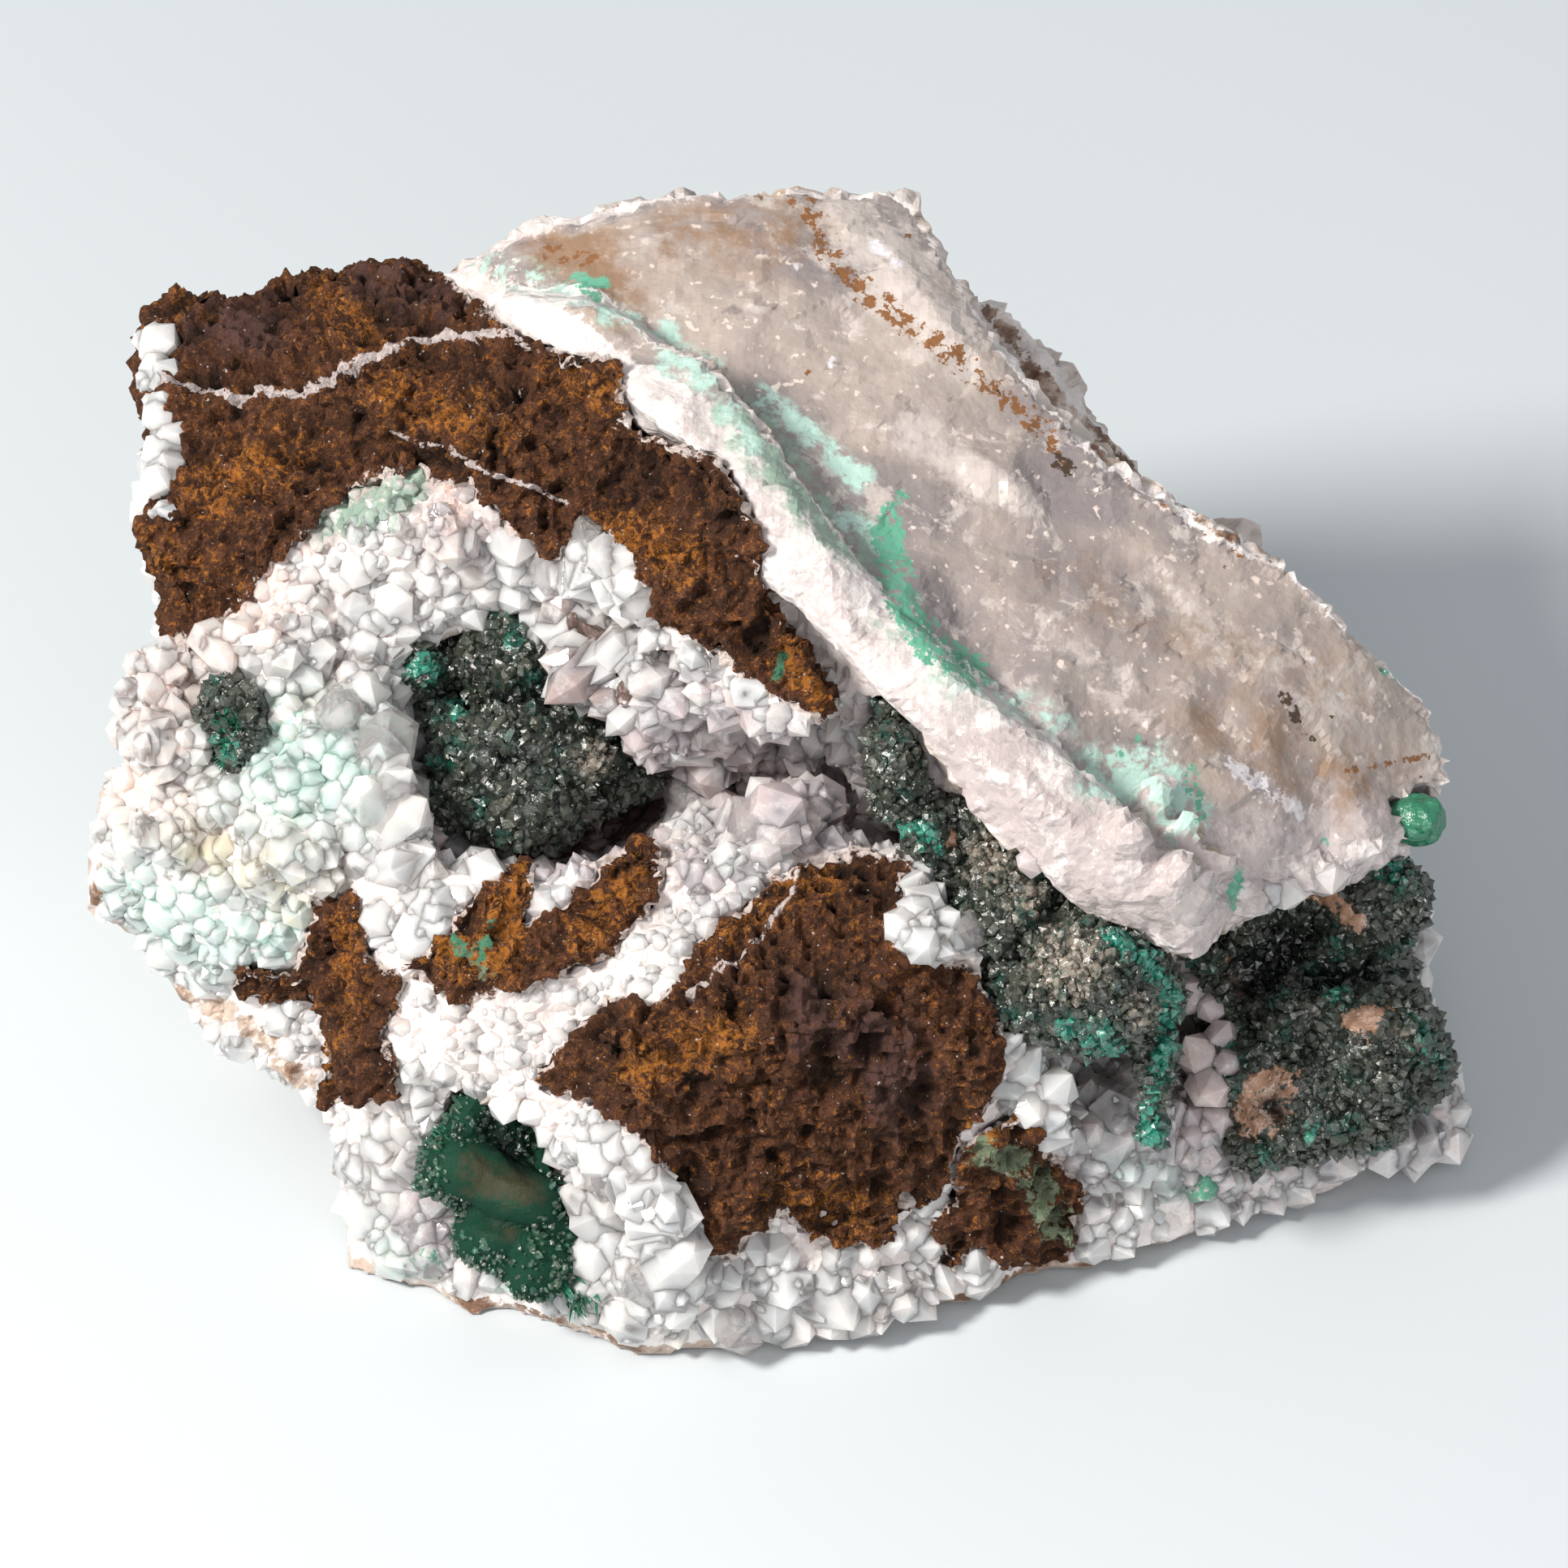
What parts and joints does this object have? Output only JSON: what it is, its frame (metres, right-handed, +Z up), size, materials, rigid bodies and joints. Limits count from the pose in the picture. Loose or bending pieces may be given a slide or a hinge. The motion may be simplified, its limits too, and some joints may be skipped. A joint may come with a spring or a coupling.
{
  "type": "malachite specimen on quartz matrix",
  "caption": "Free-standing mineral specimen: dark green malachite crusts in the hollows of a quartz rock with brown limonite and a slab of grey chalcedony.",
  "frame": {"origin": "on the table under the middle of the rock, on the flat underside", "axes": "+X to the right along the specimen's length, +Y to the back, +Z up"},
  "size_m": [0.0984, 0.0696, 0.0603],
  "materials": {
    "quartz": "white to clear quartz points, glassy and sugary",
    "limonite": "matte earthy brown with ochre patches",
    "malachite": "dark green with small glittering crystals"
  },
  "bodies": {
    "root": {"quartz_rock": "quartz", "quartz_crust": "quartz", "limonite_ridge": "limonite", "limonite_dome": "limonite", "limonite_fork": "limonite", "limonite_streak": "limonite", "limonite_toe": "limonite", "malachite_pocket": "malachite", "malachite_drape": "malachite", "malachite_shelf": "malachite", "malachite_velvet": "malachite", "malachite_tuft": "malachite", "malachite_button": "malachite"}
  },
  "joints": []
}
